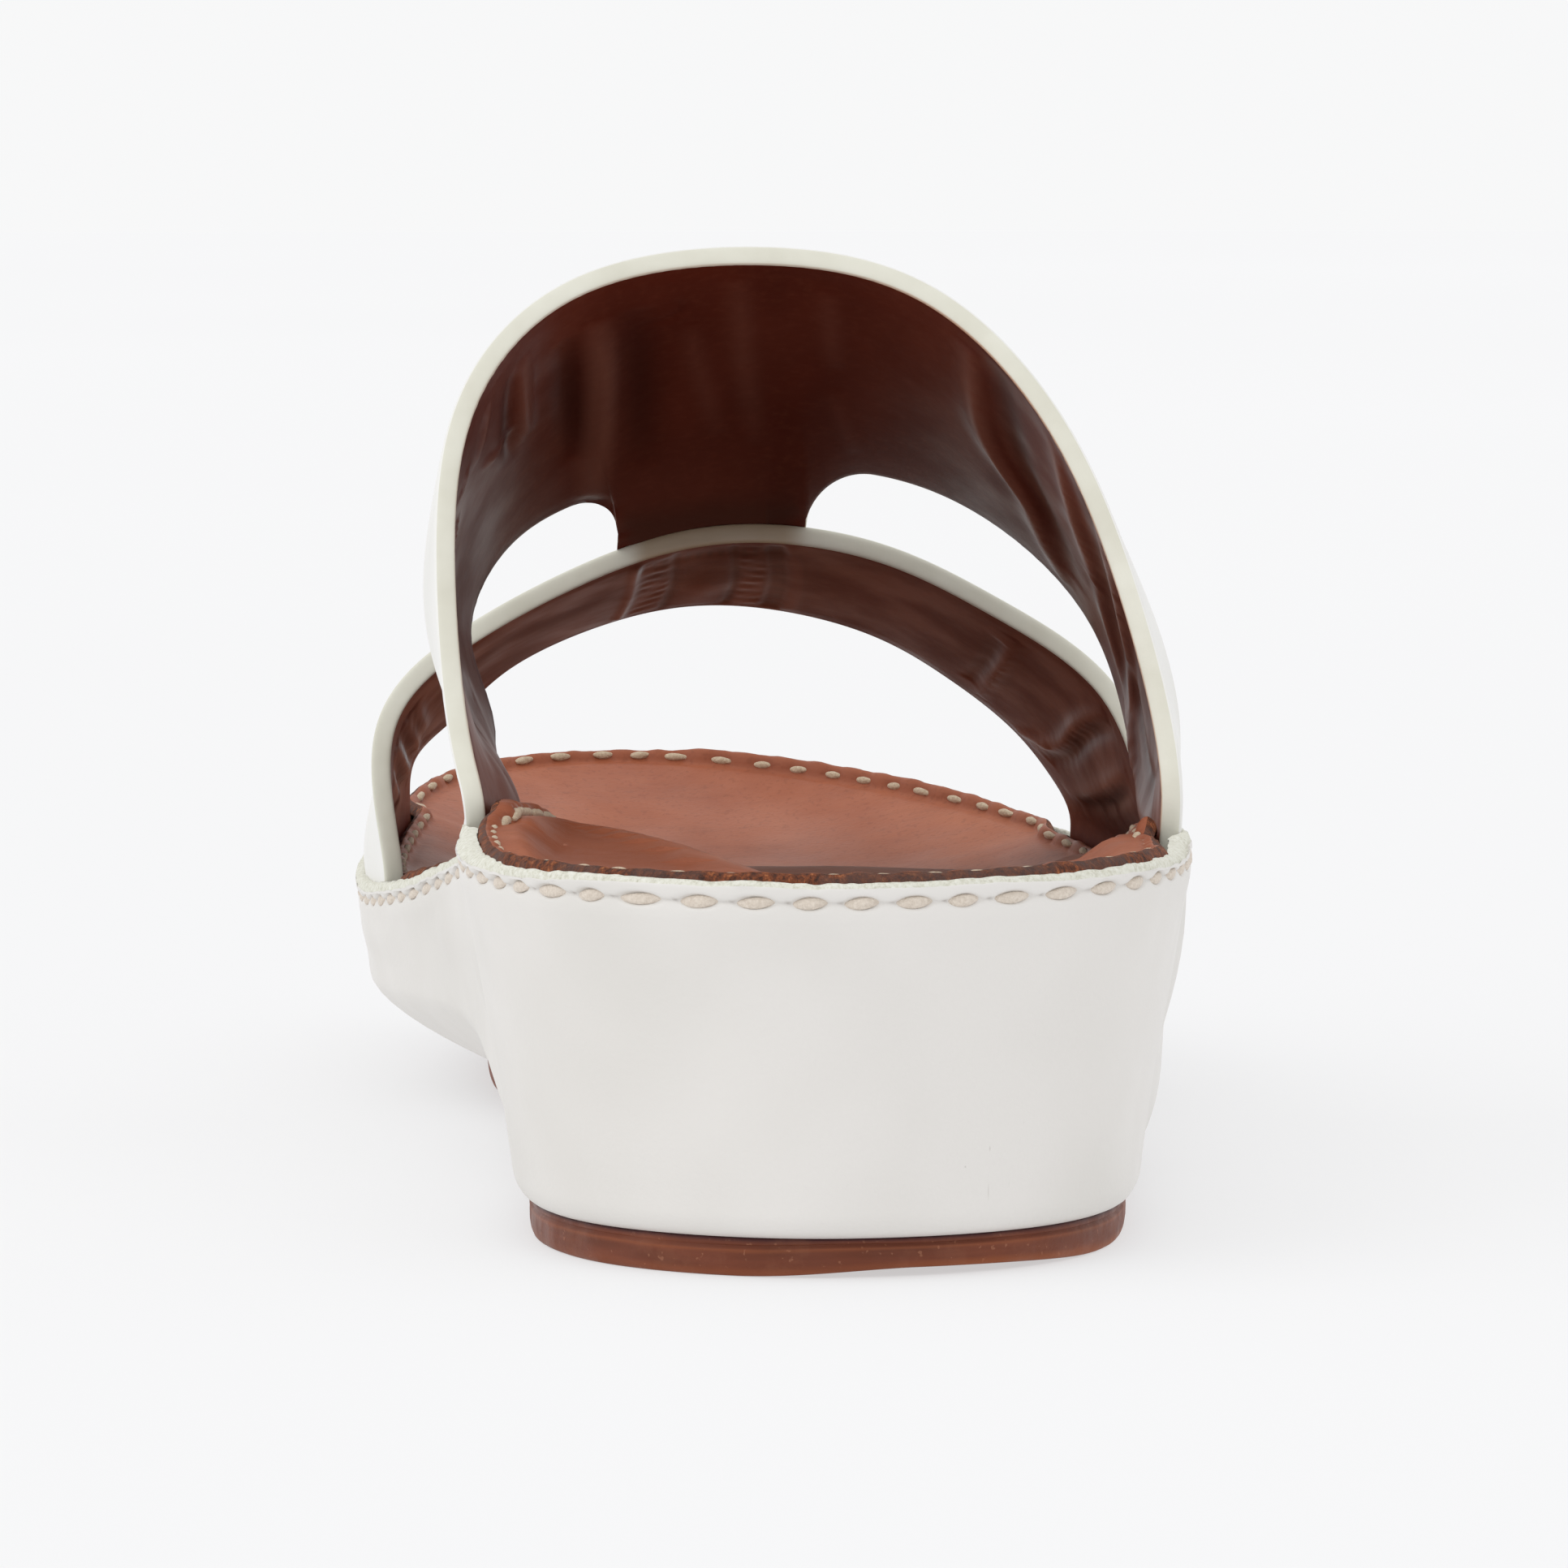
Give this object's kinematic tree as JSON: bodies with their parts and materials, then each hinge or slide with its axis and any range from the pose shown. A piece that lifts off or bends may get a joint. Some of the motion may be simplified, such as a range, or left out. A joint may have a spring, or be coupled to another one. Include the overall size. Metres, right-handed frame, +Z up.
{
  "type": "arabic sandal",
  "caption": "Slip-on sandal: leather-wrapped wedge sole, brown footbed, and a wide instep strap joined over a toe strap.",
  "frame": {"origin": "on the floor, under the middle of the sandal's box", "axes": "+Y from heel to toe, +Z up, -X towards the big toe side"},
  "size_m": [0.1014, 0.2876, 0.1079],
  "materials": {
    "outsole": "satin",
    "wedge": "satin",
    "footbed": "satin",
    "upper": "satin"
  },
  "bodies": {
    "root": {"outsole": "outsole", "wedge": "wedge", "footbed": "footbed", "upper": "upper"}
  },
  "joints": []
}
